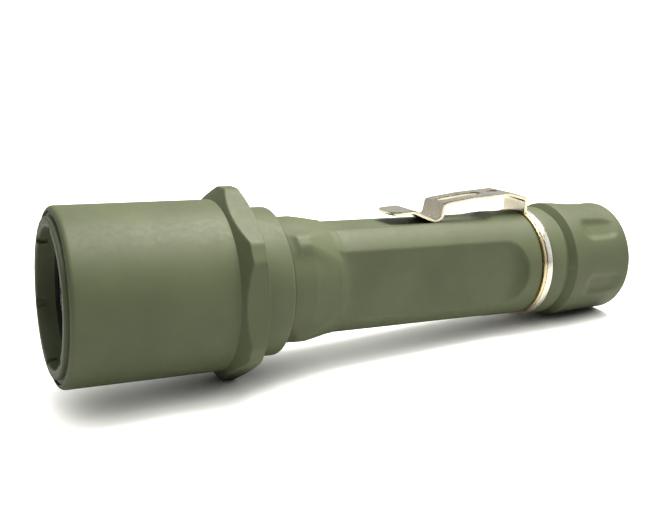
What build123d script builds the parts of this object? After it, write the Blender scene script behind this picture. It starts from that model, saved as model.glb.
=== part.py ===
"""A two-cell tactical flashlight with a moulded body, a screw-on head and a push-button tail cap.

Millimetres. +X runs along the light's axis from the front rim to the tail, +Z points up through the
pocket clip. The origin is on the axis in the plane of the head shell's front edge, and the ring that
holds the glass stands proud of it. A station is a place along X.
"""

import math
import os

from build123d import *

# Driving dimensions: the head
HEAD_R = 19.0  # 38 mm head
RIM_ROUNDING = 1.0  # across the front edge; 0.7 along the axis
LIP_R = 17.9  # bore that the retaining ring screws into
BARREL_END = 34.2
COLLAR_FLAT_R = 20.0  # hexagonal collar, 40 mm across its flats
COLLAR_CORNER_R = 21.8  # small flats that cut its corners
COLLAR_END = 41.0
SKIRT_R = 16.9
SKIRT_END = 47.3
LENS_BORE_R = 17.4
LENS_SEAT = 6.85  # shoulder that the reflector's flange lies on
CAVITY_R = 16.9
CAVITY_END = 29.0
HEAD_BORE_R = 13.48  # runs over the body's front thread
HEAD_BORE_START = 33.0

# Driving dimensions: retaining ring and optics
RING_FRONT = -0.85
RING_SHOULDER = 0.35
RING_BACK = 3.2
RING_R = 17.85
RING_LIP_R = 16.8
RING_BORE_R = 14.7
NOTCH_COUNT = 6
NOTCH_FIRST = 18.0  # degrees up from the side that faces -Y
NOTCH_WIDTH = 1.6
NOTCH_DEPTH = 1.0
NOTCH_LENGTH = 2.2
GLASS_R = 17.3
GASKET_BACK = 4.15
LENS_BACK = 5.75
REFLECTOR_FRONT = 5.8
MOUTH_R = 15.9
REFLECTOR_WALL = 0.8
REFLECTOR_NECK_R = 7.4
REFLECTOR_BACK = 33.0
APEX = 28.5  # where the reflector's parabola would close
BULB_HOLE_R = 3.4
BULB_R = 3.1
BULB_FRONT = 19.5
BULB_BACK = 29.4
BULB_WALL = 0.4
POST_GAP = 1.5  # half the distance between the filament's posts
POST_END = 28.9
SOCKET_R = 6.0
HOLDER_FLANGE_R = 8.6
HOLDER_FLANGE = 33.05
HOLDER_END = 42.0

# Driving dimensions: the body tube and what it carries
NOSE_START = 34.5
NOSE_ROOT_R = 12.7
NOSE_CREST_R = 13.4
SHOULDER_FRONT = 48.0
SHOULDER_R = 14.5
BODY_R = 13.4
BODY_END = 116.2
SIDE_FLAT = 10.9  # from the axis to the two side flats
TOP_FLAT = 12.1  # from the axis to the top and bottom flats
TAIL_ROOT_R = 11.0
TAIL_CREST_R = 11.82
TAIL_NOSE_END = 129.8
PITCH = 1.5  # of both threads
LINER_R = 9.4
LINER_BORE_R = 8.9
LINER_START = 45.0
LINER_END = 131.0
CELL_R = 8.4
CELL_LENGTH = 34.2
CELL_NUB = 1.0
CELL_BACK = 118.0

# Driving dimensions: the clip
CLIP_HALF = 0.425  # half the sheet's thickness
CLIP_WIDTH = 8.6
CLIP_FRONT = 116.25
CLIP_BACK = 117.1
CLIP_R = 13.9
HINGE_Z = 14.55
HINGE_GAP = 0.03
CLIP_TIP = (78.2, 14.6)

# Driving dimensions: the tail cap and its switch
CAP_FRONT = 118.95
CAP_FLANGE_R = 13.9
CAP_GROOVE = 123.4
CAP_GROOVE_R = 13.0
CAP_RAMP = 124.2  # sloped face between the groove and the grip
CAP_BARREL = 126.3
CAP_BARREL_R = 14.8
CAP_TAPER_R = 14.2
CAP_END = 144.3
CAP_EDGE = 1.8
CAP_OPENING_R = 7.7
CAP_WALL = 138.45  # inner face of the rear wall
FLUTE_COUNT = 6
FLUTE_FIRST = 42.0  # degrees up from the side that faces -Y
FLUTE_FLOOR_R = 13.5
FLUTE_START = 131.6
FLUTE_END = 140.8
FLUTE_WIDTH = 5.4
INSERT_R = 12.5
INSERT_BORE_R = 11.9
INSERT_FRONT = 117.15
INSERT_FLANGE_R = 14.0
INSERT_END = 130.4
SWITCH_BORE_R = 12.0
SWITCH_BORE_START = 131.55
PLATE_FRONT = 133.2
PLATE_BACK = 134.0
PLATE_R = 10.4
HOUSING_FRONT = 131.6
HOUSING_BACK = 137.4
STEM_R = 4.0
BOOT_R = 7.4
BOOT_END = 143.2

os.makedirs("parts", exist_ok=True)


def turn(points, mode=Mode.ADD):
    """Turns a closed outline of (station, radius) corners about the light's axis."""
    with BuildSketch(Plane.XZ) as outline:
        with BuildLine():
            Polyline(*points, close=True)
        make_face()
    revolve(outline.sketch, axis=Axis.X, mode=mode)


def turn_band(start, end, inner, outer, mode=Mode.ADD):
    """Turns a plain band between two stations and two radii."""
    turn([(start, inner), (end, inner), (end, outer), (start, outer)], mode)


def turn_ring(station, centre_radius, section_radius):
    """Turns a ring of round section, such as an O-ring."""
    with BuildSketch(Plane.XZ) as section:
        with Locations((station, centre_radius)):
            Circle(section_radius)
    revolve(section.sketch, axis=Axis.X)


def thread_outline(start, turns, root, crest):
    """Corners of a row of thread ridges, from the root before the first to the root after the last."""
    corners = []
    for index in range(turns):
        foot = start + index * PITCH
        corners.append((foot, root))
        corners.append((foot + 0.45, crest))
        corners.append((foot + 0.75, crest))
        corners.append((foot + 1.2, root))
    return corners


def finish_node(builder, name):
    """Names a finished piece and writes it to its own file."""
    builder.part.label = name
    export_step(builder.part, f"parts/{name}.step")


# ---------------------------------------------------------------- head: shell with its hexagonal collar
with BuildPart() as bezel_shell:
    turn(
        [
            (BARREL_END, 0),
            (BARREL_END, HEAD_R),
            (36.4, 22.0),
            (39.3, 22.0),
            (40.1, COLLAR_FLAT_R),
            (COLLAR_END, SKIRT_R),
            (COLLAR_END, 0),
        ]
    )
    with BuildSketch(Plane.YZ.offset(BARREL_END)):
        RegularPolygon(COLLAR_FLAT_R, 6, major_radius=False, rotation=30)
        RegularPolygon(COLLAR_CORNER_R, 6, major_radius=False, mode=Mode.INTERSECT)
    extrude(amount=COLLAR_END - BARREL_END, mode=Mode.INTERSECT)
    turn(
        [
            (0, 0),
            (0, HEAD_R - RIM_ROUNDING),
            (0.2, HEAD_R - 0.4),
            (0.7, HEAD_R),
            (BARREL_END, HEAD_R),
            (BARREL_END, 0),
        ]
    )
    turn(
        [
            (COLLAR_END, 0),
            (COLLAR_END, SKIRT_R),
            (SKIRT_END - 0.5, SKIRT_R),
            (SKIRT_END, SKIRT_R - 0.5),
            (SKIRT_END, 0),
        ]
    )
    turn_band(0, RING_BACK, 0, LIP_R, Mode.SUBTRACT)
    turn_band(RING_BACK, LENS_SEAT, 0, LENS_BORE_R, Mode.SUBTRACT)
    turn(
        [
            (LENS_SEAT, 0),
            (LENS_SEAT, CAVITY_R),
            (CAVITY_END, CAVITY_R),
            (HEAD_BORE_START, HEAD_BORE_R),
            (SKIRT_END, HEAD_BORE_R),
            (SKIRT_END, 0),
        ],
        Mode.SUBTRACT,
    )
finish_node(bezel_shell, "bezel_shell")

# ---------------------------------------------------------------- head: notched ring that holds the glass
with BuildPart() as retaining_ring:
    turn(
        [
            (RING_FRONT, RING_BORE_R + 0.5),
            (RING_FRONT, RING_LIP_R - 0.5),
            (RING_FRONT + 0.4, RING_LIP_R - 0.1),
            (RING_SHOULDER, RING_LIP_R),
            (RING_SHOULDER, RING_R),
            (RING_BACK, RING_R),
            (RING_BACK, RING_BORE_R),
            (RING_FRONT + 0.5, RING_BORE_R),
        ]
    )
    for index in range(NOTCH_COUNT):
        angle = math.radians(NOTCH_FIRST + index * 360 / NOTCH_COUNT)
        middle = RING_BORE_R + NOTCH_DEPTH / 2
        slot_plane = Plane(
            origin=(RING_FRONT, -middle * math.cos(angle), middle * math.sin(angle)),
            x_dir=(0, -math.cos(angle), math.sin(angle)),
            z_dir=(1, 0, 0),
        )
        with BuildSketch(slot_plane):
            Rectangle(NOTCH_DEPTH + 0.4, NOTCH_WIDTH)
        extrude(amount=NOTCH_LENGTH, mode=Mode.SUBTRACT)
finish_node(retaining_ring, "retaining_ring")

with BuildPart() as lens_gasket:
    turn_band(RING_BACK + 0.02, GASKET_BACK, RING_BORE_R + 0.1, GLASS_R)
finish_node(lens_gasket, "lens_gasket")

with BuildPart() as lens:
    turn_band(GASKET_BACK + 0.02, LENS_BACK, 0, GLASS_R)
finish_node(lens, "lens")

# ---------------------------------------------------------------- lamp module: reflector, bulb, holder, springs
focal_four = MOUTH_R**2 / (APEX - REFLECTOR_FRONT)
hole_station = APEX - BULB_HOLE_R**2 / focal_four
tangent_station = APEX - MOUTH_R * BULB_HOLE_R / focal_four
tangent_radius = (MOUTH_R + BULB_HOLE_R) / 2
with BuildPart() as reflector:
    with BuildSketch(Plane.XZ) as cup:
        with BuildLine():
            Bezier(
                (REFLECTOR_FRONT, MOUTH_R),
                (tangent_station, tangent_radius),
                (hole_station, BULB_HOLE_R),
            )
            Line((hole_station, BULB_HOLE_R), (BULB_BACK, BULB_HOLE_R))
            Line((BULB_BACK, BULB_HOLE_R), (BULB_BACK, SOCKET_R))
            Line((BULB_BACK, SOCKET_R), (REFLECTOR_BACK, SOCKET_R))
            Line((REFLECTOR_BACK, SOCKET_R), (REFLECTOR_BACK, REFLECTOR_NECK_R))
            Line((REFLECTOR_BACK, REFLECTOR_NECK_R), (27.0, REFLECTOR_NECK_R))
            Bezier(
                (27.0, REFLECTOR_NECK_R),
                (tangent_station, tangent_radius + 2 * REFLECTOR_WALL),
                (LENS_SEAT, MOUTH_R + REFLECTOR_WALL),
            )
            Line((LENS_SEAT, MOUTH_R + REFLECTOR_WALL), (LENS_SEAT, GLASS_R))
            Line((LENS_SEAT, GLASS_R), (REFLECTOR_FRONT, GLASS_R))
            Line((REFLECTOR_FRONT, GLASS_R), (REFLECTOR_FRONT, MOUTH_R))
        make_face()
    revolve(axis=Axis.X)
finish_node(reflector, "reflector")

with BuildPart() as bulb_glass:
    turn(
        [
            (BULB_FRONT, 0),
            (BULB_FRONT + 0.25, 1.2),
            (BULB_FRONT + 0.9, 2.2),
            (BULB_FRONT + 1.9, 2.85),
            (BULB_FRONT + 3.1, BULB_R),
            (BULB_BACK, BULB_R),
            (BULB_BACK, BULB_R - BULB_WALL),
            (BULB_FRONT + 3.1, BULB_R - BULB_WALL),
            (BULB_FRONT + 2.0, 2.4),
            (BULB_FRONT + 1.1, 1.8),
            (BULB_FRONT + 0.6, 0.9),
            (BULB_FRONT + 0.4, 0),
        ]
    )
finish_node(bulb_glass, "bulb_glass")

filament_station = APEX - focal_four / 4
with BuildPart() as filament:
    with BuildSketch(Plane.XZ.offset(-POST_GAP)):
        with Locations((filament_station, 0)):
            Circle(0.3)
    extrude(amount=2 * POST_GAP)
    for side in (-1, 1):
        with BuildSketch(Plane.YZ.offset(filament_station)):
            with Locations((side * POST_GAP, 0)):
                Circle(0.25)
        extrude(amount=POST_END - filament_station)
finish_node(filament, "filament")

with BuildPart() as lamp_holder:
    turn(
        [
            (POST_END, 0),
            (POST_END, BULB_R - BULB_WALL - 0.05),
            (BULB_BACK + 0.02, BULB_R - BULB_WALL - 0.05),
            (BULB_BACK + 0.02, SOCKET_R - 0.05),
            (HOLDER_FLANGE, SOCKET_R - 0.05),
            (HOLDER_FLANGE, HOLDER_FLANGE_R),
            (35.0, HOLDER_FLANGE_R),
            (35.0, 7.2),
            (HOLDER_END - 1.0, 7.0),
            (HOLDER_END, 6.0),
            (HOLDER_END, 0),
        ]
    )
finish_node(lamp_holder, "lamp_holder")

with BuildPart() as lamp_outer_spring:
    turn_band(35.02, LINER_START, 8.0, 9.2)
finish_node(lamp_outer_spring, "lamp_outer_spring")

cell_front_tip = CELL_BACK - 2 * CELL_LENGTH
with BuildPart() as lamp_centre_spring:
    turn_band(HOLDER_END + 0.02, cell_front_tip, 1.4, 2.4)
finish_node(lamp_centre_spring, "lamp_centre_spring")

# ---------------------------------------------------------------- body tube with flats and two threaded noses
with BuildPart() as body_tube:
    turn(
        [
            (SHOULDER_FRONT, 0),
            (SHOULDER_FRONT, SHOULDER_R - 0.4),
            (SHOULDER_FRONT + 1.6, SHOULDER_R + 1.2),
            (SHOULDER_FRONT + 5.0, SHOULDER_R + 1.2),
            (61.0, BODY_R - 0.1),
            (61.0, 0),
        ]
    )
    with BuildSketch(Plane.YZ.offset(SHOULDER_FRONT)):
        RectangleRounded(24.6, 24.6, 1.5)
    extrude(amount=13.0, mode=Mode.INTERSECT)
    turn(
        [
            (SHOULDER_FRONT, 0),
            (SHOULDER_FRONT, SHOULDER_R - 0.4),
            (SHOULDER_FRONT + 0.4, SHOULDER_R),
            (SHOULDER_FRONT + 5.5, SHOULDER_R),
            (59.5, BODY_R),
            (BODY_END - 0.4, BODY_R),
            (BODY_END, BODY_R - 0.4),
            (BODY_END, 0),
        ]
    )
    for side in (-1, 1):
        side_plane = Plane(origin=(0, side * SIDE_FLAT, 0), x_dir=(1, 0, 0), z_dir=(0, side, 0))
        with BuildSketch(side_plane):
            with BuildLine():
                Line((60.4, -9.5), (104.8, -9.5))
                ThreePointArc((104.8, -9.5), (112.3, 0), (104.8, 9.5))
                Line((104.8, 9.5), (60.4, 9.5))
                Line((60.4, 9.5), (60.4, -9.5))
            make_face()
        extrude(amount=4, taper=-35, mode=Mode.SUBTRACT)
        top_plane = Plane(origin=(0, 0, side * TOP_FLAT), x_dir=(1, 0, 0), z_dir=(0, 0, side))
        with BuildSketch(top_plane):
            with BuildLine():
                Line((60.0, -6.3), (102.0, -6.3))
                ThreePointArc((102.0, -6.3), (108.0, 0), (102.0, 6.3))
                Line((102.0, 6.3), (60.0, 6.3))
                Line((60.0, 6.3), (60.0, -6.3))
            make_face()
        extrude(amount=3, taper=-35, mode=Mode.SUBTRACT)
    turn(
        [
            (NOSE_START, 0),
            (NOSE_START, NOSE_ROOT_R - 0.5),
            (NOSE_START + 0.5, NOSE_ROOT_R),
            *thread_outline(35.7, 6, NOSE_ROOT_R, NOSE_CREST_R),
            (45.15, NOSE_ROOT_R),
            (45.15, 11.8),
            (46.85, 11.8),
            (46.85, NOSE_ROOT_R),
            (SHOULDER_FRONT, NOSE_ROOT_R),
            (SHOULDER_FRONT, 0),
        ]
    )
    turn(
        [
            (BODY_END, 0),
            (BODY_END, TAIL_ROOT_R),
            (117.6, TAIL_ROOT_R),
            (117.6, 10.4),
            (119.0, 10.4),
            (119.0, TAIL_ROOT_R),
            *thread_outline(119.4, 6, TAIL_ROOT_R, TAIL_CREST_R),
            (TAIL_NOSE_END - 0.6, TAIL_ROOT_R),
            (TAIL_NOSE_END, TAIL_ROOT_R - 0.5),
            (TAIL_NOSE_END, 0),
        ]
    )
    turn_band(NOSE_START, LINER_START, 0, 10.2, Mode.SUBTRACT)
    turn_band(LINER_START, TAIL_NOSE_END, 0, LINER_R + 0.02, Mode.SUBTRACT)
finish_node(body_tube, "body_tube")

with BuildPart() as body_liner:
    turn_band(LINER_START, LINER_END, LINER_BORE_R, LINER_R)
finish_node(body_liner, "body_liner")

with BuildPart() as head_o_ring:
    turn_ring(46.0, 12.63, 0.8)
finish_node(head_o_ring, "head_o_ring")

with BuildPart() as tail_o_ring:
    turn_ring(118.3, 11.13, 0.68)
finish_node(tail_o_ring, "tail_o_ring")

# ---------------------------------------------------------------- two lithium cells, nub towards the lamp
for index, name in enumerate(("cell_front", "cell_rear")):
    back = CELL_BACK - (1 - index) * CELL_LENGTH
    front = back - CELL_LENGTH
    with BuildPart() as cell:
        turn(
            [
                (front, 0),
                (front, 2.6),
                (front + 0.3, 2.9),
                (front + CELL_NUB, 2.9),
                (front + CELL_NUB, CELL_R - 0.5),
                (front + CELL_NUB + 0.5, CELL_R),
                (back - 0.4, CELL_R),
                (back, CELL_R - 0.4),
                (back, 0),
            ]
        )
    finish_node(cell, name)

# ---------------------------------------------------------------- pocket clip: a washer and a sprung arm
with BuildPart() as clip_ring:
    turn_band(CLIP_FRONT, CLIP_BACK, TAIL_CREST_R + 0.1, CLIP_R)
    with BuildSketch(Plane.YZ.offset(CLIP_FRONT)):
        with Locations((0, 13.3)):
            Rectangle(CLIP_WIDTH, 2 * (HINGE_Z - CLIP_HALF - HINGE_GAP - 13.3))
    extrude(amount=CLIP_BACK - CLIP_FRONT)
finish_node(clip_ring, "clip_ring")

clip_station = (CLIP_FRONT + CLIP_BACK) / 2
with BuildPart() as clip_arm:
    with BuildSketch(Plane.XZ) as side_view:
        with BuildLine():
            FilletPolyline(
                (clip_station, HINGE_Z),
                (clip_station, 17.0),
                (111.5, 18.45),
                (101.0, 17.7),
                (92.1, 16.6),
                (91.5, 13.4),
                (89.9, 12.35),
                (83.6, 14.95),
                CLIP_TIP,
                radius=(1.1, 3.0, 6.0, 0.8, 0.9, 1.5, 2.0),
            )
        trace(line_width=2 * CLIP_HALF)
        with Locations((clip_station, HINGE_Z), CLIP_TIP):
            Circle(CLIP_HALF)
    extrude(amount=CLIP_WIDTH / 2, both=True)
    with BuildSketch(Plane.XY.offset(10)):
        with Locations((98.9, 0)):
            SlotOverall(12.6, 3.0)
        with Locations((109.2, 0)):
            SlotOverall(3.2, 2.2)
    extrude(amount=10, mode=Mode.SUBTRACT)
finish_node(clip_arm, "clip_arm")

# ---------------------------------------------------------------- tail cap shell with its groove and flutes
with BuildPart() as tailcap_shell:
    turn(
        [
            (CAP_FRONT, 0),
            (CAP_FRONT, CAP_FLANGE_R - 0.3),
            (CAP_FRONT + 0.3, CAP_FLANGE_R),
            (CAP_GROOVE, CAP_FLANGE_R),
            (CAP_GROOVE, CAP_GROOVE_R),
            (CAP_RAMP, CAP_GROOVE_R),
            (CAP_BARREL - 0.4, CAP_BARREL_R - 0.15),
            (CAP_BARREL, CAP_BARREL_R),
            (CAP_END - CAP_EDGE, CAP_TAPER_R),
            (CAP_END - 0.9, CAP_TAPER_R - 0.4),
            (CAP_END - 0.25, CAP_TAPER_R - 1.05),
            (CAP_END, CAP_TAPER_R - CAP_EDGE),
            (CAP_END, 0),
        ]
    )
    for index in range(FLUTE_COUNT):
        angle = math.radians(FLUTE_FIRST + index * 360 / FLUTE_COUNT)
        outward = (0, -math.cos(angle), math.sin(angle))
        flute_plane = Plane(
            origin=((FLUTE_START + FLUTE_END) / 2, FLUTE_FLOOR_R * outward[1], FLUTE_FLOOR_R * outward[2]),
            x_dir=(1, 0, 0),
            z_dir=outward,
        )
        with BuildSketch(flute_plane):
            Rectangle(FLUTE_END - FLUTE_START, FLUTE_WIDTH)
        extrude(amount=3, taper=-45, mode=Mode.SUBTRACT)
    turn_band(CAP_FRONT, SWITCH_BORE_START, 0, INSERT_R + 0.03, Mode.SUBTRACT)
    turn_band(SWITCH_BORE_START, CAP_WALL, 0, SWITCH_BORE_R, Mode.SUBTRACT)
    turn_band(CAP_WALL, CAP_END, 0, CAP_OPENING_R, Mode.SUBTRACT)
finish_node(tailcap_shell, "tailcap_shell")

with BuildPart() as thread_insert:
    turn(
        [
            (INSERT_FRONT, INSERT_BORE_R),
            (INSERT_FRONT, INSERT_FLANGE_R - 0.2),
            (INSERT_FRONT + 0.2, INSERT_FLANGE_R),
            (CAP_FRONT - 0.25, INSERT_FLANGE_R),
            (CAP_FRONT - 0.05, INSERT_FLANGE_R - 0.2),
            (CAP_FRONT - 0.05, INSERT_R),
            (INSERT_END, INSERT_R),
            (INSERT_END, INSERT_BORE_R),
        ]
    )
finish_node(thread_insert, "thread_insert")

with BuildPart() as housing_ring:
    turn_band(INSERT_END + 0.05, SWITCH_BORE_START - 0.05, 10.9, INSERT_R)
finish_node(housing_ring, "housing_ring")

with BuildPart() as switch_housing:
    turn(
        [
            (HOUSING_FRONT, 10.8),
            (HOUSING_FRONT, SWITCH_BORE_R - 0.05),
            (HOUSING_BACK, SWITCH_BORE_R - 0.05),
            (HOUSING_BACK, STEM_R + 0.08),
            (PLATE_BACK + 0.05, STEM_R + 0.08),
            (PLATE_BACK + 0.05, 10.8),
        ]
    )
finish_node(switch_housing, "switch_housing")

with BuildPart() as boot:
    turn(
        [
            (HOUSING_BACK + 0.03, 6.7),
            (HOUSING_BACK + 0.03, SWITCH_BORE_R - 0.1),
            (CAP_WALL - 0.03, SWITCH_BORE_R - 0.1),
            (CAP_WALL - 0.03, BOOT_R),
            (BOOT_END - 1.2, BOOT_R - 0.1),
            (BOOT_END - 0.4, BOOT_R - 0.6),
            (BOOT_END, BOOT_R - 1.8),
            (BOOT_END, 0),
            (142.1, 0),
            (142.1, 6.5),
            (141.4, 6.7),
        ]
    )
finish_node(boot, "boot")

with BuildPart() as plunger:
    turn(
        [
            (PLATE_BACK + 0.02, 0),
            (PLATE_BACK + 0.02, STEM_R),
            (139.7, STEM_R),
            (139.7, 6.3),
            (141.3, 6.3),
            (142.0, 5.8),
            (142.0, 0),
        ]
    )
finish_node(plunger, "plunger")

with BuildPart() as contact_plate:
    turn_band(PLATE_FRONT, PLATE_BACK, 0, PLATE_R)
finish_node(contact_plate, "contact_plate")

with BuildPart() as cell_spring:
    turn_band(CELL_BACK, PLATE_FRONT, 6.6, 7.6)
finish_node(cell_spring, "cell_spring")
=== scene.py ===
"""The looks of a two-cell tactical flashlight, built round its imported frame, in metres.

+X runs along the light's axis from the front rim to the tail, and +Z points up through the pocket clip.
Stations and radii are written in millimetres, and MM turns them into metres.
"""
import math

import bmesh
import bpy
from mathutils import Matrix, Vector


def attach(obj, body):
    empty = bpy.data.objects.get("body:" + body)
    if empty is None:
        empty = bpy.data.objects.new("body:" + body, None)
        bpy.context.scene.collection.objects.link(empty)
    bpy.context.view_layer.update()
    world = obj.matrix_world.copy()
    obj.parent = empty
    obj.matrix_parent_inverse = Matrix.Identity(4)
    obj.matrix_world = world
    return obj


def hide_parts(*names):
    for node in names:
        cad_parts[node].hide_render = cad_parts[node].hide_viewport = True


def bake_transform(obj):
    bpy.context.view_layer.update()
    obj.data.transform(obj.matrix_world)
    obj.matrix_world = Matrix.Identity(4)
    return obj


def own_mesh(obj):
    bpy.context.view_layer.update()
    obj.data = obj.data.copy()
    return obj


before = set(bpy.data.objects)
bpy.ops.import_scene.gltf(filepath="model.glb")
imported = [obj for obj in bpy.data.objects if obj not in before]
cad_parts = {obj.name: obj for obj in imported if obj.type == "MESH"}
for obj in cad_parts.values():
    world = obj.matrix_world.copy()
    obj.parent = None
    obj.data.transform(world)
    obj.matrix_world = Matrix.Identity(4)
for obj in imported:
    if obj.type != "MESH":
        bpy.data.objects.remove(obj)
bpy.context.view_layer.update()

# ------------------------------------------------------------------ camera, floor and studio light
# The light lies on its collar and its tail cap, so the floor is a little tilted in the light's own frame.
# It is white card, brightly exposed, and its glow is turned down by ambient occlusion where the light lies
# close above it, a painted contact shadow in the crevices. One soft box hangs above, and the surround is
# bright behind the light and dark on the camera's side, like a product tent.
MM = 0.001
scene = bpy.context.scene
scene.view_settings.view_transform = "Standard"
scene.view_settings.look = "None"

camera_data = bpy.data.cameras.new("camera")
camera_data.lens = 50.9
camera_data.clip_start = 0.01
camera = bpy.data.objects.new("camera", camera_data)
scene.collection.objects.link(camera)
look = Vector((0.4422, 0.8725, -0.2079)).normalized()
up = Vector((0.0622, 0.2015, 0.9775))
right = look.cross(up).normalized()
up = right.cross(look)
standpoint = Vector((-32.7, -187.4, 49.7)) * MM
camera.matrix_world = Matrix.Translation(standpoint) @ Matrix((right, up, -look)).transposed().to_4x4()
scene.camera = camera

FLOOR_NORMAL = Vector((-0.072, 0, 0.9974)).normalized()
FLOOR_POINT = Vector((38, 0, -21.83)) * MM
FLOOR_GLOW = 0.14
FLOOR_EXPOSURE = 1.10


def make_floor():
    """A wide white floor under the light, which shows brighter than it lights the pieces, with its glow
    dimmed near the light by ambient occlusion as a painted contact shadow.
    """
    bm = bmesh.new()
    bmesh.ops.create_grid(bm, x_segments=1, y_segments=1, size=2.5)
    mesh = bpy.data.meshes.new("floor")
    bm.to_mesh(mesh)
    bm.free()
    floor = bpy.data.objects.new("floor", mesh)
    scene.collection.objects.link(floor)
    tilt = FLOOR_NORMAL.to_track_quat("Z", "Y").to_matrix().to_4x4()
    floor.matrix_world = Matrix.Translation(FLOOR_POINT) @ tilt
    paper = bpy.data.materials.new("floor_paper")
    paper.use_nodes = True
    nodes, link = paper.node_tree.nodes, paper.node_tree.links.new
    shader = nodes["Principled BSDF"]
    shader.inputs["Base Color"].default_value = (0.62, 0.62, 0.61, 1)
    shader.inputs["Roughness"].default_value = 0.6
    shader.inputs["Specular IOR Level"].default_value = 0.2
    shader.inputs["Emission Color"].default_value = (1, 0.99, 0.93, 1)
    # Painted contact shadow: ambient occlusion dims the floor's glow where the light lies close above it.
    painted_contact_shadow_ao = nodes.new("ShaderNodeAmbientOcclusion")
    painted_contact_shadow_ao.inputs["Distance"].default_value = 0.015
    exposure = nodes.new("ShaderNodeMix")
    exposure.inputs[2].default_value = FLOOR_GLOW
    exposure.inputs[3].default_value = FLOOR_EXPOSURE
    link(nodes.new("ShaderNodeLightPath").outputs["Is Camera Ray"], exposure.inputs[0])
    glow = nodes.new("ShaderNodeMapRange")
    glow.inputs["From Min"].default_value = 0.14
    glow.inputs["From Max"].default_value = 0.86
    link(exposure.outputs[0], glow.inputs["To Max"])
    link(painted_contact_shadow_ao.outputs["AO"], glow.inputs["Value"])
    link(glow.outputs["Result"], shader.inputs["Emission Strength"])
    mesh.materials.append(paper)


def soft_box(name, place, aim, size, power, tint=(1, 1, 1)):
    """A square area light that points from place towards aim."""
    data = bpy.data.lights.new(name, "AREA")
    data.shape = "SQUARE"
    data.size = size
    data.energy = power
    data.color = tint
    lamp = bpy.data.objects.new(name, data)
    scene.collection.objects.link(lamp)
    lamp.location = place
    lamp.rotation_euler = (Vector(aim) - Vector(place)).to_track_quat("-Z", "Y").to_euler()


make_floor()
soft_box("top_box", (0.24, 0.01, 0.57), (0.06, 0, 0), 0.40, 8.0, (1, 0.965, 0.87))
soft_box("side_card", (0.50, -0.30, 0.22), (0.11, 0, 0), 0.35, 0.35)
sky = bpy.data.lights.new("sky", "SUN")
sky.energy = 1.3
sky.angle = 0.6
sky_lamp = bpy.data.objects.new("sky", sky)
sky_lamp.rotation_euler = (math.radians(20), math.radians(-4), 0)
scene.collection.objects.link(sky_lamp)

surround = bpy.data.worlds.new("surround")
surround.use_nodes = True
scene.world = surround
tree = surround.node_tree
direction = tree.nodes.new("ShaderNodeTexCoord").outputs["Generated"]
backwards = tree.nodes.new("ShaderNodeVectorMath")
backwards.operation = "DOT_PRODUCT"
backwards.inputs[1].default_value = (0.30, 0.90, 0.20)
tree.links.new(direction, backwards.inputs[0])
tent = tree.nodes.new("ShaderNodeMapRange")
tent.inputs["From Min"].default_value = -0.25
tent.inputs["From Max"].default_value = 0.55
tent.inputs["To Min"].default_value = 0.02
tent.inputs["To Max"].default_value = 0.52
tree.links.new(backwards.outputs["Value"], tent.inputs["Value"])
seen = tree.nodes.new("ShaderNodeLightPath").outputs["Is Camera Ray"]
level = tree.nodes.new("ShaderNodeMix")
tree.links.new(seen, level.inputs[0])
tree.links.new(tent.outputs["Result"], level.inputs[2])
level.inputs[3].default_value = 1.3
tree.links.new(level.outputs[0], tree.nodes["Background"].inputs["Strength"])
tree.nodes["Background"].inputs["Color"].default_value = (1, 1, 1, 1)

# ------------------------------------------------------------------ head shell with its hexagonal collar
# One injection-moulded shell of glass-filled nylon, grey-green right through, with a fine matt tool grain.
# The collar's six flats stop the light rolling. Every moulded edge has a small radius.
HEAD_R = 19.0
LIP_R = 17.9
BARREL_END = 34.2
COLLAR_FLAT_R = 20.0
COLLAR_CORNER_R = 21.8
COLLAR_END = 41.0
SKIRT_R = 16.9
SKIRT_END = 47.3
RING_BACK = 3.2
LENS_SEAT = 6.85
LENS_BORE_R = 17.4
CAVITY_R = 16.9
HEAD_BORE_R = 13.48
BORE_FRONT = 33.0
POLYMER = (0.086, 0.102, 0.052)


def soften(corners):
    """An outline of (station, radius, rounding) corners, with each rounded one as a short arc."""
    outline = []
    count = len(corners)
    for index, (x, r, rounding) in enumerate(corners):
        here = Vector((x, r))
        if not rounding:
            outline.append(here)
            continue
        before = Vector(corners[index - 1][:2]) - here
        after = Vector(corners[(index + 1) % count][:2]) - here
        half = before.angle(after) / 2
        reach = min(rounding / math.tan(half), before.length * 0.48, after.length * 0.48)
        start, end = here + before.normalized() * reach, here + after.normalized() * reach
        for step in range(5):
            t = step / 4
            outline.append(start.lerp(here, t).lerp(here.lerp(end, t), t))
    return outline


def refine(outline, step, closed=True):
    """The same outline with no leg longer than step."""
    fine = []
    count = len(outline)
    for index in range(count if closed else count - 1):
        start, end = outline[index], outline[(index + 1) % count]
        cuts = max(1, math.ceil((end - start).length / step))
        fine += [start.lerp(end, cut / cuts) for cut in range(cuts)]
    if not closed:
        fine.append(outline[-1])
    return fine


def lathe(name, outline, segments=144, closed=True, shape=None):
    """Spins an outline about the light's axis. shape may then move each point's station and radius."""
    bm = bmesh.new()
    row = [bm.verts.new((p.x, 0, p.y)) for p in outline]
    for index in range(len(row) if closed else len(row) - 1):
        bm.edges.new((row[index], row[(index + 1) % len(row)]))
    bmesh.ops.spin(
        bm, geom=row + bm.edges[:], cent=(0, 0, 0), axis=(1, 0, 0), angle=2 * math.pi,
        steps=segments, use_merge=True, use_duplicate=False,
    )
    bmesh.ops.remove_doubles(bm, verts=bm.verts, dist=1e-4)
    if shape:
        for v in bm.verts:
            r = math.hypot(v.co.y, v.co.z)
            if r > 1e-6:
                station, radius = shape(v.co.x, r, -v.co.y / r, v.co.z / r)
                v.co = (station, v.co.y * radius / r, v.co.z * radius / r)
        bmesh.ops.remove_doubles(bm, verts=bm.verts, dist=1e-4)
        bmesh.ops.dissolve_degenerate(bm, edges=bm.edges, dist=1e-4)
    bmesh.ops.recalc_face_normals(bm, faces=bm.faces)
    bmesh.ops.scale(bm, vec=(MM, MM, MM), verts=bm.verts)
    return to_object(bm, name)


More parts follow.
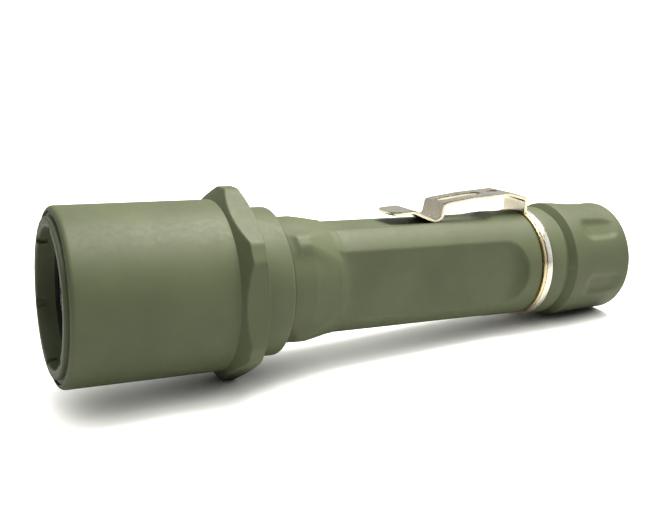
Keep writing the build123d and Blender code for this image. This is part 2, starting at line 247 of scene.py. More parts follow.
def to_object(bm, name, sharp=40):
    """A finished mesh as an object at the origin, smooth but for its sharp edges."""
    mesh = bpy.data.meshes.new(name)
    bm.to_mesh(mesh)
    bm.free()
    mesh.shade_smooth()
    mesh.set_sharp_from_angle(angle=math.radians(sharp))
    piece = bpy.data.objects.new(name, mesh)
    scene.collection.objects.link(piece)
    return piece


def soft_min(a, b, width):
    """The smaller of two lengths, with the corner between them rounded over width."""
    blend = max(width - abs(a - b), 0) / width
    return min(a, b) - blend * blend * width / 4


def soft_max(a, b, width):
    """The larger of two lengths, with the corner between them filled over width."""
    return -soft_min(-a, -b, width)


def ramp(material, source, low, high, start, end):
    """Maps a 0 to 1 signal between two places onto two grey values or colours."""
    node = material.node_tree.nodes.new("ShaderNodeValToRGB")
    node.color_ramp.elements[0].position = start
    node.color_ramp.elements[1].position = end
    node.color_ramp.elements[0].color = low if isinstance(low, tuple) else (low, low, low, 1)
    node.color_ramp.elements[1].color = high if isinstance(high, tuple) else (high, high, high, 1)
    material.node_tree.links.new(source, node.inputs["Fac"])
    return node.outputs["Color"]


def new_finish(name):
    """A material with its shader and its object coordinates."""
    material = bpy.data.materials.new(name)
    material.use_nodes = True
    shader = material.node_tree.nodes["Principled BSDF"]
    place = material.node_tree.nodes.new("ShaderNodeTexCoord").outputs["Object"]
    return material, shader, place


def noise(material, place, scale, detail=3.0, roughness=0.5):
    """A noise signal at so many cycles a metre."""
    node = material.node_tree.nodes.new("ShaderNodeTexNoise")
    node.inputs["Scale"].default_value = scale
    node.inputs["Detail"].default_value = detail
    node.inputs["Roughness"].default_value = roughness
    material.node_tree.links.new(place, node.inputs["Vector"])
    return node.outputs["Fac"]


def bump(material, shader, height, strength, distance):
    """Gives the shader a bump from a height signal."""
    node = material.node_tree.nodes.new("ShaderNodeBump")
    node.inputs["Strength"].default_value = strength
    node.inputs["Distance"].default_value = distance
    material.node_tree.links.new(height, node.inputs["Height"])
    material.node_tree.links.new(node.outputs["Normal"], shader.inputs["Normal"])


def mix_colour(material, factor, first, second):
    """Mixes two colours, each a value or a signal, by a signal or a number."""
    node = material.node_tree.nodes.new("ShaderNodeMix")
    node.data_type = "RGBA"
    for value, socket in ((factor, node.inputs[0]), (first, node.inputs[6]), (second, node.inputs[7])):
        if isinstance(value, bpy.types.NodeSocket):
            material.node_tree.links.new(value, socket)
        else:
            socket.default_value = value
    return node.outputs[2]


def moulded_polymer(name, colour):
    """Matt moulded nylon: a fine tool grain, faint flow clouding and paler rubbed edges."""
    material, shader, place = new_finish(name)
    link = material.node_tree.links.new
    pale = tuple(min(1, c * 1.16) for c in colour) + (1,)
    deep = tuple(c * 0.88 for c in colour) + (1,)
    clouds = noise(material, place, 55, 4)
    body = ramp(material, clouds, deep, pale, 0.30, 0.72)
    speck = noise(material, place, 5200, 2)
    dark = tuple(c * 0.72 for c in colour) + (1,)
    speckled = mix_colour(material, ramp(material, speck, 0.0, 0.22, 0.45, 0.75), body, dark)
    edge = material.node_tree.nodes.new("ShaderNodeNewGeometry").outputs["Pointiness"]
    rub = ramp(material, edge, 0.0, 0.35, 0.515, 0.60)
    rubbed = tuple(min(1, c * 1.7) for c in colour) + (1,)
    link(mix_colour(material, rub, speckled, rubbed), shader.inputs["Base Color"])
    link(ramp(material, noise(material, place, 900, 3), 0.49, 0.60, 0.3, 0.7), shader.inputs["Roughness"])
    shader.inputs["Specular IOR Level"].default_value = 0.32
    bump(material, shader, noise(material, place, 3600, 3), 0.16, 0.00008)
    return material


def collar_shape(x, r, near, high):
    """Cuts the collar's six flats and its six small corner flats into the spun envelope."""
    if x < BARREL_END - 0.01 or x > COLLAR_END + 0.01 or r < HEAD_BORE_R + 1:
        return x, r
    angle = math.atan2(high, near)
    sixth = math.pi / 3
    from_flat = (angle + sixth / 2) % sixth - sixth / 2
    from_corner = angle % sixth - sixth / 2
    limit = soft_min(COLLAR_FLAT_R / math.cos(from_flat), COLLAR_CORNER_R / math.cos(from_corner), 0.35)
    return x, soft_min(r, limit, 0.3)


collar = soften(
    [
        (BARREL_END, HEAD_R, 0.5),
        (36.45, 22.1, 0.35),
        (39.3, 22.1, 0.35),
        (40.15, COLLAR_FLAT_R, 0.5),
        (COLLAR_END, SKIRT_R, 0.4),
    ]
)[5:-5]
rim_turns = (0.3, 0.6, 0.9, 1.2, math.pi / 2)
head_outline = (
    [Vector((0, LIP_R)), Vector((0.02, LIP_R + 0.1))]
    + [Vector((1.15 - 1.13 * math.cos(turn), HEAD_R - 1 + math.sin(turn))) for turn in rim_turns]
    + [Vector((BARREL_END - 0.3, HEAD_R)), Vector((BARREL_END, HEAD_R))]
    + refine([Vector((BARREL_END, HEAD_R))] + collar + [Vector((COLLAR_END, SKIRT_R))], 0.17, False)[1:]
    + soften(
        [
            (COLLAR_END, SKIRT_R, 0),
            (SKIRT_END, SKIRT_R, 0.6),
            (SKIRT_END, HEAD_BORE_R, 0.3),
            (BORE_FRONT, HEAD_BORE_R, 0),
        ]
    )[1:-1]
    + [
        Vector(p)
        for p in (
            (BORE_FRONT, HEAD_BORE_R),
            (29.0, CAVITY_R),
            (LENS_SEAT, CAVITY_R),
            (LENS_SEAT, LENS_BORE_R),
            (RING_BACK, LENS_BORE_R),
            (RING_BACK, LIP_R),
        )
    ]
)
polymer = moulded_polymer("grey_green_nylon", POLYMER)
head_shell = lathe("head_shell", head_outline, 330, shape=collar_shape)
head_shell.data.materials.append(polymer)
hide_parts("bezel_shell")
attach(head_shell, "head")

# ------------------------------------------------------------------ notched retaining ring in the front rim
# A second moulding of the same nylon screws into the rim and holds the glass. Its rounded lip stands proud
# of the shell, with a fine shadow gap round it, and six notches in its inner edge take a pin spanner. Its
# colour is the nylon darkened to 82 per cent, painted shade for the recessed rim.
RING_FRONT = -0.85
RING_SHOULDER = 0.35
RING_LIP_R = 16.8
RING_BORE_R = 14.7
NOTCH_FLOOR_R = 15.7
NOTCH_BACK = 1.35
NOTCH_HALF = 0.8
NOTCH_FIRST = math.radians(18)


def ring_shape(x, r, near, high):
    """Mills the six spanner notches into the ring's inner edge."""
    sixth = math.pi / 3
    angle = (math.atan2(high, near) - NOTCH_FIRST + sixth / 2) % sixth - sixth / 2
    if r <= NOTCH_FLOOR_R and abs(r * math.sin(angle)) <= NOTCH_HALF:
        return max(x, NOTCH_BACK), r
    return x, r


ring_outline = soften(
    [
        (RING_FRONT, RING_LIP_R - 0.05, 0.5),
        (RING_SHOULDER, RING_LIP_R, 0.15),
        (RING_SHOULDER, 17.85, 0.2),
        (RING_BACK, 17.85, 0),
        (RING_BACK, RING_BORE_R, 0),
        (NOTCH_BACK + 0.01, RING_BORE_R, 0),
        (NOTCH_BACK, RING_BORE_R, 0),
        (RING_FRONT, RING_BORE_R, 0.5),
        (RING_FRONT, NOTCH_FLOOR_R, 0),
    ]
)
retaining_ring = lathe("notched_ring", ring_outline, 360, shape=ring_shape)
# Painted shade: the ring's nylon is darkened to 82 per cent to stand in for the shade inside the rim.
ring_painted_shade = tuple(c * 0.82 for c in POLYMER)
retaining_ring.data.materials.append(moulded_polymer("grey_green_nylon_painted_shade", ring_painted_shade))
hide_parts("retaining_ring")
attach(retaining_ring, "head")

# ------------------------------------------------------------------ window glass and its gasket
# A flat disc of clear borosilicate with ground edges, on a black rubber gasket behind the ring.
# The gasket is cut from sheet and dusts up a little in use.
WINDOW_R = 17.3


def rubber(name, colour, roughness=0.62):
    """Matt black rubber with a fine mould texture and a little dust bloom."""
    material, shader, place = new_finish(name)
    link = material.node_tree.links.new
    dusty = tuple(c * 1.9 for c in colour) + (1,)
    bloom = ramp(material, noise(material, place, 140, 5), colour + (1,), dusty, 0.45, 0.8)
    link(bloom, shader.inputs["Base Color"])
    gloss = ramp(material, noise(material, place, 700), roughness - 0.07, roughness + 0.1, 0.3, 0.7)
    link(gloss, shader.inputs["Roughness"])
    shader.inputs["Specular IOR Level"].default_value = 0.35
    bump(material, shader, noise(material, place, 2600), 0.2, 0.00006)
    return material


def clear_glass(name, tint, smear):
    """Clear polished glass with the faintest wiping haze."""
    material, shader, place = new_finish(name)
    shader.inputs["Base Color"].default_value = tint + (1,)
    shader.inputs["Transmission Weight"].default_value = 1.0
    shader.inputs["IOR"].default_value = 1.47
    haze = ramp(material, noise(material, place, 90, 5), 0.0, smear, 0.45, 0.8)
    material.node_tree.links.new(haze, shader.inputs["Roughness"])
    bump(material, shader, noise(material, place, 60, 1), 0.02, 0.00005)
    return material


seal = rubber("seal_black", (0.018, 0.018, 0.018))
window_outline = soften([(4.17, 0, 0), (4.17, WINDOW_R, 0.2), (5.75, WINDOW_R, 0.2), (5.75, 0, 0)])
window = lathe("window", window_outline, 144, closed=False)
window.data.materials.append(clear_glass("window_clear", (0.97, 0.99, 0.98), 0.06))
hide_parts("lens")
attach(window, "head")
gasket_outline = soften([(3.22, 14.8, 0.15), (3.22, WINDOW_R, 0), (4.15, WINDOW_R, 0), (4.15, 14.8, 0.15)])
gasket = lathe("window_gasket", gasket_outline)
gasket.data.materials.append(seal)
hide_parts("lens_gasket")
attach(gasket, "head")

# ------------------------------------------------------------------ reflector
# A deep spun-aluminium parabola with a bright vapour coating. Its mouth flange lies on the shell's
# shoulder, and its neck holds the lamp.
MOUTH = 5.8
MOUTH_R = 15.9
APEX = 28.5
NECK = 29.4
BULB_HOLE_R = 3.4


def metal(name, colour, roughness, scratch=0.15, cell=1600, direction=(1, 1, 1)):
    """Bare or plated metal: tinted, slightly uneven in gloss, with fine directional marks."""
    material, shader, place = new_finish(name)
    link = material.node_tree.links.new
    shader.inputs["Metallic"].default_value = 1.0
    stretch = material.node_tree.nodes.new("ShaderNodeMapping")
    stretch.inputs["Scale"].default_value = direction
    link(place, stretch.inputs["Vector"])
    stretched = stretch.outputs["Vector"]
    tone = noise(material, place, 160, 4)
    dull = tuple(c * 0.82 for c in colour) + (1,)
    link(ramp(material, tone, dull, colour + (1,), 0.3, 0.62), shader.inputs["Base Color"])
    marks = noise(material, stretched, cell, 4, 0.6)
    gloss = ramp(material, marks, roughness * 0.7, roughness * 1.5 + 0.02, 0.3, 0.75)
    link(gloss, shader.inputs["Roughness"])
    bump(material, shader, marks, scratch, 0.00004)
    return material


def parabola(start_r, end_r, steps, apex, mouth, mouth_r):
    """Points down a parabola whose mouth and apex are given."""
    points = []
    for step in range(steps + 1):
        r = start_r + (end_r - start_r) * step / steps
        points.append(Vector((apex - (apex - mouth) * (r / mouth_r) ** 2, r)))
    return points


reflector_outline = (
    parabola(MOUTH_R, BULB_HOLE_R, 36, APEX, MOUTH, MOUTH_R)
    + [Vector(p) for p in ((NECK, BULB_HOLE_R), (NECK, 6.0), (33.0, 6.0), (33.0, 7.4), (28.2, 7.4))]
    + parabola(7.6, MOUTH_R + 0.8, 16, APEX + 1.2, 6.85, MOUTH_R + 0.85)
    + [Vector(p) for p in ((6.84, 17.25), (MOUTH, 17.25))]
)
reflector = lathe("reflector_cup", reflector_outline, 180)
reflector.data.materials.append(metal("vapour_coat", (0.93, 0.94, 0.95), 0.045, 0.06, 900))
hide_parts("reflector")
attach(reflector, "lamp")

# ------------------------------------------------------------------ lamp: envelope, filament, holder, springs
# A small gas-filled glass envelope with a coiled tungsten filament on two posts, cemented into a turned
# brass holder. One spring carries the return current to the liner, the small one meets the cell.
ENVELOPE_FRONT = 19.5
ENVELOPE_R = 3.1
FILAMENT_STATION = 25.73
POST_OFFSET = 1.5
POST_R = 0.24
HOLDER_FRONT = 28.9


def dome(front, radius, depth, steps=8):
    """A quarter ellipse from the axis out to the radius."""
    points = []
    for step in range(steps + 1):
        turn = step / steps * math.pi / 2
        points.append(Vector((front + depth * (1 - math.cos(turn)), radius * math.sin(turn))))
    return points


def coil(name, wire_r, radius, start, end, turns, flat_ends=0.9, place=Matrix()):
    """Winds round wire about the light's axis, with its end turns closed up."""
    steps_per_turn = 28
    steps = int(turns * steps_per_turn)
    bm = bmesh.new()
    bmesh.ops.create_circle(bm, segments=8, radius=wire_r, matrix=Matrix.Rotation(math.pi / 2, 4, "X"))
    bmesh.ops.translate(bm, vec=(0, 0, radius), verts=bm.verts)
    travel = end - start - 2 * wire_r
    bmesh.ops.spin(
        bm, geom=bm.verts[:] + bm.edges[:], cent=(0, 0, 0), axis=(1, 0, 0), angle=turns * 2 * math.pi,
        dvec=(travel / steps, 0, 0), steps=steps, use_merge=False, use_duplicate=False,
    )
    bmesh.ops.holes_fill(bm, edges=[e for e in bm.edges if e.is_boundary])
    for v in bm.verts:
        share = min(1, max(0, v.co.x / travel))
        closed_up = share - math.sin(2 * math.pi * share) / (2 * math.pi) * flat_ends
        v.co.x += start + wire_r + (closed_up - share) * travel
    bmesh.ops.recalc_face_normals(bm, faces=bm.faces)
    bmesh.ops.transform(bm, matrix=place, verts=bm.verts)
    bmesh.ops.scale(bm, vec=(MM, MM, MM), verts=bm.verts)
    return to_object(bm, name)


spring_wire = metal("spring_wire", (0.72, 0.71, 0.68), 0.22, 0.1)
brass = metal("turned_brass", (0.74, 0.60, 0.33), 0.24, 0.15, 900, (6, 1, 1))
envelope = lathe(
    "lamp_envelope",
    dome(ENVELOPE_FRONT, ENVELOPE_R, 3.3)
    + [Vector((NECK, ENVELOPE_R)), Vector((NECK, ENVELOPE_R - 0.4))]
    + dome(ENVELOPE_FRONT + 0.4, ENVELOPE_R - 0.4, 2.9)[::-1],
    64,
    closed=False,
)
envelope.data.materials.append(clear_glass("envelope_clear", (0.98, 0.98, 0.97), 0.02))
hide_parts("bulb_glass")
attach(envelope, "lamp")

across = Matrix.Translation((FILAMENT_STATION, 0, 0)) @ Matrix.Rotation(math.pi / 2, 4, "Z")
filament_coil = coil("filament_coil", 0.09, 0.24, -POST_OFFSET, POST_OFFSET, 8, 0.0, across)
tungsten = metal("tungsten", (0.34, 0.34, 0.36), 0.4)
filament_coil.data.materials.append(tungsten)
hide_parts("filament")
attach(filament_coil, "lamp")
for side, label in ((-1, "near"), (1, "far")):
    bm = bmesh.new()
    reach = HOLDER_FRONT - FILAMENT_STATION
    upright = Matrix.Rotation(math.pi / 2, 4, "Y")
    stand = Matrix.Translation((FILAMENT_STATION + reach / 2, side * POST_OFFSET, 0)) @ upright
    bmesh.ops.create_cone(
        bm, cap_ends=True, segments=14, radius1=POST_R, radius2=POST_R, depth=reach, matrix=stand,
    )
    bmesh.ops.scale(bm, vec=(MM, MM, MM), verts=bm.verts)
    post = to_object(bm, f"filament_post_{label}")
    post.data.materials.append(tungsten)
    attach(post, "lamp")

holder = lathe(
    "lamp_socket",
    soften(
        [
            (HOLDER_FRONT, 0, 0), (HOLDER_FRONT, 2.6, 0.2), (29.42, 2.6, 0), (29.42, 5.95, 0.2),
            (33.05, 5.95, 0), (33.05, 8.6, 0.3), (35.0, 8.6, 0.3), (35.0, 7.2, 0.1),
            (41.0, 7.0, 0.4), (42.0, 6.0, 0.3), (42.0, 0, 0),
        ]
    ),
    96,
    closed=False,
)
holder.data.materials.append(brass)
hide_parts("lamp_holder")
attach(holder, "lamp")
outer_spring = coil("return_spring", 0.5, 8.55, 35.05, 45.0, 4.5)
outer_spring.data.materials.append(spring_wire)
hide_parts("lamp_outer_spring")
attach(outer_spring, "lamp")
centre_spring = coil("centre_spring", 0.35, 2.0, 42.0, 49.6, 5)
centre_spring.data.materials.append(spring_wire)
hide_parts("lamp_centre_spring")
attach(centre_spring, "lamp")

# ------------------------------------------------------------------ body tube with its flats and shoulders
# A thick nylon tube, moulded in one piece with a threaded nose at each end. Two deep flats at the sides
# and two shallow ones above and below run out in curved scoops, and the front shoulder has four corners.
SHOULDER = 48.0
SHOULDER_R = 14.5
BODY_R = 13.4
BODY_END = 116.2
SIDE_FLAT = 10.9
TOP_FLAT = 12.1
NOSE_START = 34.5
NOSE_ROOT_R = 12.7
NOSE_CREST_R = 13.4
TAIL_ROOT_R = 11.0
TAIL_CREST_R = 11.82
TAIL_NOSE_END = 129.8
LINER_START = 45.0
LINER_BORE_R = 9.42
CELL_BORE_R = 10.2
PITCH = 1.5


def flat_height(flat, across, inside, run):
    """Height of a flat above the axis where it scoops up to the round body near its end."""
    round_height = math.sqrt(max(BODY_R**2 - across**2, 0))
    if inside <= 0:
        return 99
    climb = max(0, 1 - inside / run) ** 2
    return flat + max(round_height - flat, 0) * climb


def body_shape(x, r, near, high):
    """Adds the shoulder's four corners to the spun tube and cuts its four flats."""
    if x < SHOULDER - 0.01 or x > BODY_END or r < 13.25:
        return x, r
    if x < 61.5:
        corner = min(13.9 + (x - SHOULDER) * 0.8, 15.7, 15.7 - (x - 53) * 0.34)
        square = 12.3 / max(abs(near), abs(high))
        r = soft_max(r, soft_min(corner, square, 1.0), 1.3)
    for side, across_share, flat, middle, half, run in (
        (abs(near), high, SIDE_FLAT, 102.53, 9.77, 3.6),
        (abs(high), near, TOP_FLAT, 102.0, 6.0, 3.0),
    ):
        if side < 0.4:
            continue
        radius = r
        for _ in range(3):
            across = radius * across_share
            rear = middle + math.sqrt(max(half * half - across * across, 0)) - x
            inside = min(rear, x - 60.2)
            radius = soft_min(r, flat_height(flat, across, inside, run) / side, 0.22)
        r = radius
    return x, r


def thread(name, start, turns, root, crest, body):
    """A real helical thread ridge that fades out at both ends, for a right-hand screw."""
    steps_per_turn = 96
    steps = turns * steps_per_turn
    bm = bmesh.new()
    foot = root - 0.15
    row = [bm.verts.new(p) for p in ((0, 0, foot), (0.42, 0, crest), (0.72, 0, crest), (1.14, 0, foot))]
    for index in range(4):
        bm.edges.new((row[index], row[(index + 1) % 4]))
    bmesh.ops.spin(
        bm, geom=row + bm.edges[:], cent=(0, 0, 0), axis=(1, 0, 0), angle=turns * 2 * math.pi,
        dvec=(turns * PITCH / steps, 0, 0), steps=steps, use_merge=False, use_duplicate=False,
    )
    bmesh.ops.holes_fill(bm, edges=[e for e in bm.edges if e.is_boundary])
    length = turns * PITCH
    for v in bm.verts:
        r = math.hypot(v.co.y, v.co.z)
        fade = min(1, max(0, min(v.co.x, length + 1.1 - v.co.x) / 1.4))
        sunk = foot + (r - foot) * fade
        v.co = (v.co.x + start, v.co.y * sunk / r, v.co.z * sunk / r)
    bmesh.ops.recalc_face_normals(bm, faces=bm.faces)
    bmesh.ops.scale(bm, vec=(MM, MM, MM), verts=bm.verts)
    ridge = to_object(bm, name, 30)
    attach(ridge, body)
    return ridge


def legs(corners, step):
    """An open run of corners, refined."""
    return refine([Vector(c) for c in corners], step, False)


body_outline = (
    soften(
        [
            (NOSE_START, CELL_BORE_R, 0), (NOSE_START, NOSE_ROOT_R, 0.4), (45.15, NOSE_ROOT_R, 0.1),
            (45.15, 11.8, 0.2), (46.85, 11.8, 0.2), (46.85, NOSE_ROOT_R, 0.1), (SHOULDER, NOSE_ROOT_R, 0),
        ]
    )
    + legs([(SHOULDER, 13.3), (SHOULDER, 14.1)], 0.3)
    + legs(
        [
            (SHOULDER + 0.12, 14.35), (SHOULDER + 0.4, SHOULDER_R), (53.5, SHOULDER_R),
            (57.0, 13.95), (59.8, BODY_R), (62, BODY_R),
        ],
        0.33,
    )
    + legs([(63, BODY_R), (95, BODY_R)], 1.6)
    + legs([(95.5, BODY_R), (113.5, BODY_R)], 0.33)
    + soften([(114.5, BODY_R, 0), (BODY_END, BODY_R, 0.4), (BODY_END, TAIL_ROOT_R, 0)])
    + soften(
        [
            (117.6, TAIL_ROOT_R, 0.1), (117.6, 10.4, 0.2), (119.0, 10.4, 0.2), (119.0, TAIL_ROOT_R, 0.1),
            (TAIL_NOSE_END, TAIL_ROOT_R, 0.5), (TAIL_NOSE_END, LINER_BORE_R, 0),
            (LINER_START, LINER_BORE_R, 0), (LINER_START, CELL_BORE_R, 0),
        ]
    )
)
tube = lathe("moulded_tube", body_outline, 288, shape=body_shape)
tube.data.materials.append(polymer)
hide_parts("body_tube")
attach(tube, "body")
for name, start, root, crest in (
    ("front_thread", 35.4, NOSE_ROOT_R, NOSE_CREST_R),
    ("tail_thread", 119.3, TAIL_ROOT_R, TAIL_CREST_R),
):
    ridge = thread(name, start, 6, root, crest, "body")
    ridge.data.materials.append(polymer)

# ------------------------------------------------------------------ seals, liner and the two cells
# Nitrile O-rings lie in grooves behind both threads. A thin drawn aluminium liner carries the return
# current past the cells, which are lithium cans in plain dark shrink wrap.
CELL_BACK = 118.0
CELL_LENGTH = 34.2
CELL_R = 8.4
NUB_R = 2.9
WRAP_EDGE_R = 7.2


def o_ring(name, station, centre_r, section_r, node):
    """A round-section seal in its groove."""
    outline = []
    for step in range(20):
        turn = step * math.pi / 10
        outline.append(Vector((station + section_r * math.cos(turn), centre_r + section_r * math.sin(turn))))
    seal_ring = lathe(name, outline, 144)
    seal_ring.data.materials.append(seal)
    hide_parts(node)
    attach(seal_ring, "body")


o_ring("front_seal", 46.0, 12.63, 0.8, "head_o_ring")
o_ring("tail_seal", 118.3, 11.13, 0.68, "tail_o_ring")


def dress(node, material):
    """Gives a carried-over CAD node its finish."""
    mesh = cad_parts[node].data
    mesh.materials.clear()
    mesh.materials.append(material)


dress("body_liner", metal("drawn_aluminium", (0.80, 0.81, 0.82), 0.3, 0.15, 1200, (8, 1, 1)))


def shrink_wrap(name, colour):
    """Thin glossy wrap drawn tight over the can, with faint shrink ripples and rub marks."""
    material, shader, place = new_finish(name)
    link = material.node_tree.links.new
    worn = tuple(c * 0.8 for c in colour) + (1,)
    tone = ramp(material, noise(material, place, 70, 3), worn, colour + (1,), 0.3, 0.7)
    link(tone, shader.inputs["Base Color"])
    gloss = ramp(material, noise(material, place, 260, 4), 0.18, 0.34, 0.35, 0.7)
    link(gloss, shader.inputs["Roughness"])
    bump(material, shader, noise(material, place, 180, 2), 0.12, 0.0001)
    return material


wrap = shrink_wrap("cell_wrap", (0.035, 0.045, 0.055))
can = metal("cell_can", (0.76, 0.77, 0.77), 0.28, 0.1)
for name, back in (("cell_front", CELL_BACK - CELL_LENGTH), ("cell_rear", CELL_BACK)):
    front = back - CELL_LENGTH
    outline = soften(
        [
            (front, 0, 0), (front, NUB_R, 0.35), (front + 1.0, NUB_R, 0.2), (front + 1.0, CELL_R, 0.5),
            (back, CELL_R, 0.4), (back, 6.9, 0.1), (back - 0.1, 6.7, 0.1), (back - 0.1, 0, 0),
        ]
    )
    cell = lathe(f"{name}_can", outline, 96, closed=False)
    cell.data.materials.append(wrap)
    cell.data.materials.append(can)
    for face in cell.data.polygons:
        middle = face.center
        if math.hypot(middle.y, middle.z) < WRAP_EDGE_R * MM:
            face.material_index = 1
    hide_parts(name)
    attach(cell, "body")

# ------------------------------------------------------------------ pocket clip
# One strip of nickel-plated spring steel. Its ring is trapped between the body and the tail cap, it rises
# behind the ring, runs forward, drops to touch the top flat and turns up at the tip. Two slots lighten it.
CLIP_CENTRE = 116.675
CLIP_THICK = 0.85
CLIP_HALF_WIDTH = 4.3
TIP_LENGTH = 2.4
TIP_ROUND = 2.0
clip_steel = metal("clip_nickel", (0.72, 0.67, 0.53), 0.2, 0.12, 1400, (1, 6, 1))

washer_outline = soften([(116.27, 11.95, 0), (116.27, 13.9, 0.12), (117.08, 13.9, 0.12), (117.08, 11.95, 0)])
washer = lathe("clip_washer", washer_outline, 180)
washer.data.materials.append(metal("heat_tinted_nickel", (0.74, 0.60, 0.36), 0.26, 0.12, 1400, (1, 6, 1)))
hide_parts("clip_ring")
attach(washer, "body")

clip_path = refine(
    soften(
        [
            (CLIP_CENTRE, 13.2, 0), (CLIP_CENTRE, 17.0, 1.1), (111.5, 18.45, 3.0), (101.0, 17.7, 6.0),
            (92.1, 16.6, 0.8), (91.5, 13.4, 0.9), (89.9, 12.35, 1.5), (83.6, 14.95, 2.0), (77.8, 14.57, 0),
        ]
    ),
    0.45,
    False,
)
distances = [0.0]
for start, end in zip(clip_path, clip_path[1:]):
    distances.append(distances[-1] + (end - start).length)


def along_clip(distance):
    """The point on the strip's centre line so far from its foot."""
    for index in range(len(distances) - 1):
        if distance <= distances[index + 1] or index == len(distances) - 2:
            share = (distance - distances[index]) / (distances[index + 1] - distances[index])
            return clip_path[index].lerp(clip_path[index + 1], share)


def distance_at(station):
    """How far along the strip a station lies, past the top bend."""
    rows = [row for row in range(12, len(clip_path)) if clip_path[row].x <= station]
    return distances[rows[0]]


def make_clip():
    """Lays out the strip as a flat blank with its slots, bends it along its path and gives it thickness."""
    columns = [-4.3, -4.0, -3.3, -2.4, -1.5, -1.1, -0.6, 0, 0.6, 1.1, 1.5, 2.4, 3.3, 4.0, 4.3]
    slots = [(distance_at(105.2), distance_at(92.6), 1.5), (distance_at(110.8), distance_at(107.6), 1.1)]
    rows = distances
    for start, end, half in slots:
        kept = []
        for d in rows:
            if not (start - 0.1 < d < start + half + 0.1 or end - half - 0.1 < d < end + 0.1):
                kept.append(d)
        rows = sorted(kept + [start + half, end - half])
    count, wide = len(rows) - 1, len(columns) - 1
    bm = bmesh.new()
    bmesh.ops.create_grid(bm, x_segments=count, y_segments=wide, size=1)
    tip_start = rows[-1] - TIP_LENGTH
    cut = []
    for face in bm.faces:
        middle = face.calc_center_median()
        row, column = (middle.x + 1) / 2 * count, (middle.y + 1) / 2 * wide
        distance = (rows[math.floor(row)] + rows[math.ceil(row)]) / 2
        y = (columns[math.floor(column)] + columns[math.ceil(column)]) / 2
        if any(start + half < distance < end - half and abs(y) < half for start, end, half in slots):
            cut.append(face)
    for v in bm.verts:
        row, column = round((v.co.x + 1) / 2 * count), round((v.co.y + 1) / 2 * wide)
        y, distance = columns[column], rows[row]
        for start, end, half in slots:
            reach = math.sqrt(max(half * half - y * y, 0))
            if abs(distance - start - half) < 1e-6:
                distance -= reach
            elif abs(distance - end + half) < 1e-6:
                distance += reach
        if distance > tip_start:
            spare = max(abs(y) - (CLIP_HALF_WIDTH - TIP_ROUND), 0)
            reach = TIP_LENGTH - (TIP_ROUND - math.sqrt(TIP_ROUND**2 - spare**2))
            distance = tip_start + (distance - tip_start) * reach / TIP_LENGTH
        point = along_clip(distance)
        v.co = (point.x, y, point.y)
    bmesh.ops.delete(bm, geom=cut, context="FACES")
    bmesh.ops.recalc_face_normals(bm, faces=bm.faces)
    bm.normal_update()
    for v, normal in [(v, v.normal.copy()) for v in bm.verts]:
        v.co -= normal * CLIP_THICK / 2
    bmesh.ops.solidify(bm, geom=bm.faces[:], thickness=-CLIP_THICK)
    bmesh.ops.recalc_face_normals(bm, faces=bm.faces)
    rims = [e for e in bm.edges if len(e.link_faces) == 2 and e.calc_face_angle() > math.radians(50)]
    bmesh.ops.bevel(
        bm, geom=rims, offset=0.12, segments=2, profile=0.5, affect="EDGES", material=-1, clamp_overlap=True,
    )
    bmesh.ops.scale(bm, vec=(MM, MM, MM), verts=bm.verts)
    return to_object(bm, "clip_strip", 35)


clip = make_clip()
clip.data.materials.append(clip_steel)
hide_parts("clip_arm")
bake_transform(clip)

# ------------------------------------------------------------------ tail cap shell with groove and flutes
# The cap is the same nylon as the body. A groove with a sloped rear face parts its flange from the grip,
# and six scooped flutes stop short of the rear edge.
CAP_FRONT = 118.95
CAP_END = 144.3
CAP_WALL = 138.45
BUTTON_HOLE_R = 7.7
INSERT_SEAT_R = 12.53
FLUTE_FLOOR_R = 13.5
FLUTE_HALF = 2.5
FLUTE_START = 131.7
FLUTE_END = 140.6
FLUTE_FIRST = math.radians(42)


def cap_shape(x, r, near, high):
    """Cuts the six finger flutes into the spun cap."""
    if x < 129.5 or x > CAP_END - 1 or r < 12.7:
        return x, r
    sixth = math.pi / 3
    angle = (math.atan2(high, near) - FLUTE_FIRST + sixth / 2) % sixth - sixth / 2
    side = soft_max(abs(r * math.sin(angle)) - FLUTE_HALF, 0, 1.3)
    end = soft_max(FLUTE_START - x, 0, 1.6) * 0.8 + soft_max(x - FLUTE_END, 0, 2.0) * 0.6
    return x, soft_min(r, (FLUTE_FLOOR_R + side + end) / math.cos(angle), 0.45)


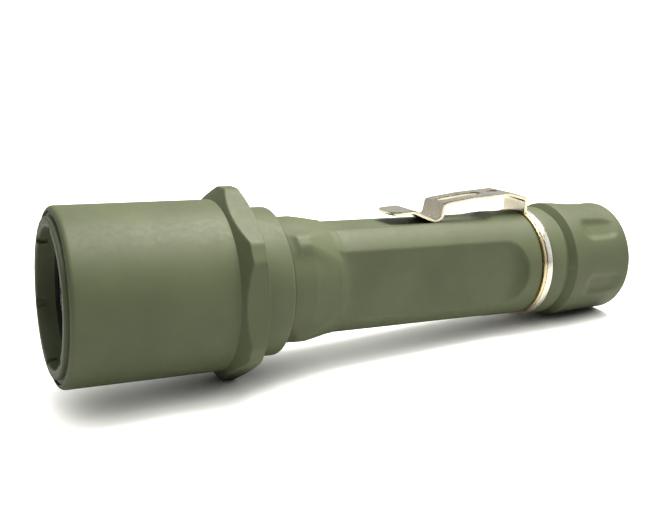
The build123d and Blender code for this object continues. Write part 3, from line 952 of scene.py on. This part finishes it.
cap_outline = (
    soften(
        [
            (CAP_FRONT, INSERT_SEAT_R, 0), (CAP_FRONT, 13.9, 0.35), (123.4, 13.9, 0.3),
            (123.4, 13.0, 0.2), (124.7, 13.0, 0.3), (126.1, 14.8, 0.35), (129.0, 14.69, 0),
        ]
    )
    + legs([(129.2, 14.68), (CAP_END - 1.9, 14.2)], 0.3)
    + soften([(CAP_END - 1.8, 14.2, 0), (CAP_END, 14.2, 1.7), (CAP_END, 12.0, 0)])
    + soften(
        [
            (CAP_END, 9.0, 0), (CAP_END, BUTTON_HOLE_R, 0.5), (CAP_WALL, BUTTON_HOLE_R, 0.2),
            (CAP_WALL, 12.0, 0), (131.55, 12.0, 0), (131.55, INSERT_SEAT_R, 0),
        ]
    )
)
cap = lathe("cap_shell", cap_outline, 234, shape=cap_shape)
cap.data.materials.append(polymer)
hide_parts("tailcap_shell")
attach(cap, "tailcap")

# ------------------------------------------------------------------ metal thread insert of the tail cap
# A turned aluminium sleeve with the cap's female thread. Its polished flange shows as a bright band
# between the clip's ring and the cap.
insert_outline = soften(
    [
        (117.15, 11.9, 0.1), (117.15, 14.0, 0.22), (118.9, 14.0, 0.22), (118.9, 12.5, 0.1),
        (130.4, 12.5, 0.1), (130.4, 11.9, 0.1),
    ]
)
insert = lathe("insert_sleeve", insert_outline, 216)
insert.data.materials.append(metal("polished_aluminium", (0.83, 0.80, 0.71), 0.27, 0.10, 1500, (7, 1, 1)))
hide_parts("thread_insert")
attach(insert, "tailcap")

# ------------------------------------------------------------------ switch and its rubber boot
# A soft rubber boot seals the button. Pressing it pushes the plunger and the contact plate forward until
# the plate meets the liner's end, against the spring that stands on the rear cell.
BOOT_FOOT = 137.43
BOOT_END = 143.2
boot_outline = soften(
    [
        (BOOT_FOOT, 6.7, 0), (BOOT_FOOT, 11.9, 0.2), (138.42, 11.9, 0.2), (138.42, 7.4, 0.3),
        (BOOT_END, 7.3, 1.4), (BOOT_END, 4.6, 0.4), (BOOT_END - 0.35, 4.2, 0.3), (BOOT_END - 0.3, 0, 0),
    ]
) + soften([(142.1, 0, 0), (142.1, 6.5, 0.8), (141.0, 6.7, 0)])
boot = lathe("button_boot", refine(boot_outline, 0.5, False), 144, closed=False)
boot.data.materials.append(rubber("boot_black", (0.035, 0.037, 0.032), 0.55))
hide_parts("boot")
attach(boot, "tailcap")
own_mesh(boot)

PLATE_FRONT = 133.2
switch_spring = coil("switch_spring", 0.5, 7.0, CELL_BACK, PLATE_FRONT, 6)
switch_spring.data.materials.append(spring_wire)
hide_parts("cell_spring")
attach(switch_spring, "switch")
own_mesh(switch_spring)

black_nylon = moulded_polymer("black_nylon", (0.02, 0.02, 0.02))
dress("plunger", black_nylon)
dress("switch_housing", black_nylon)
dress("contact_plate", brass)
dress("housing_ring", brass)
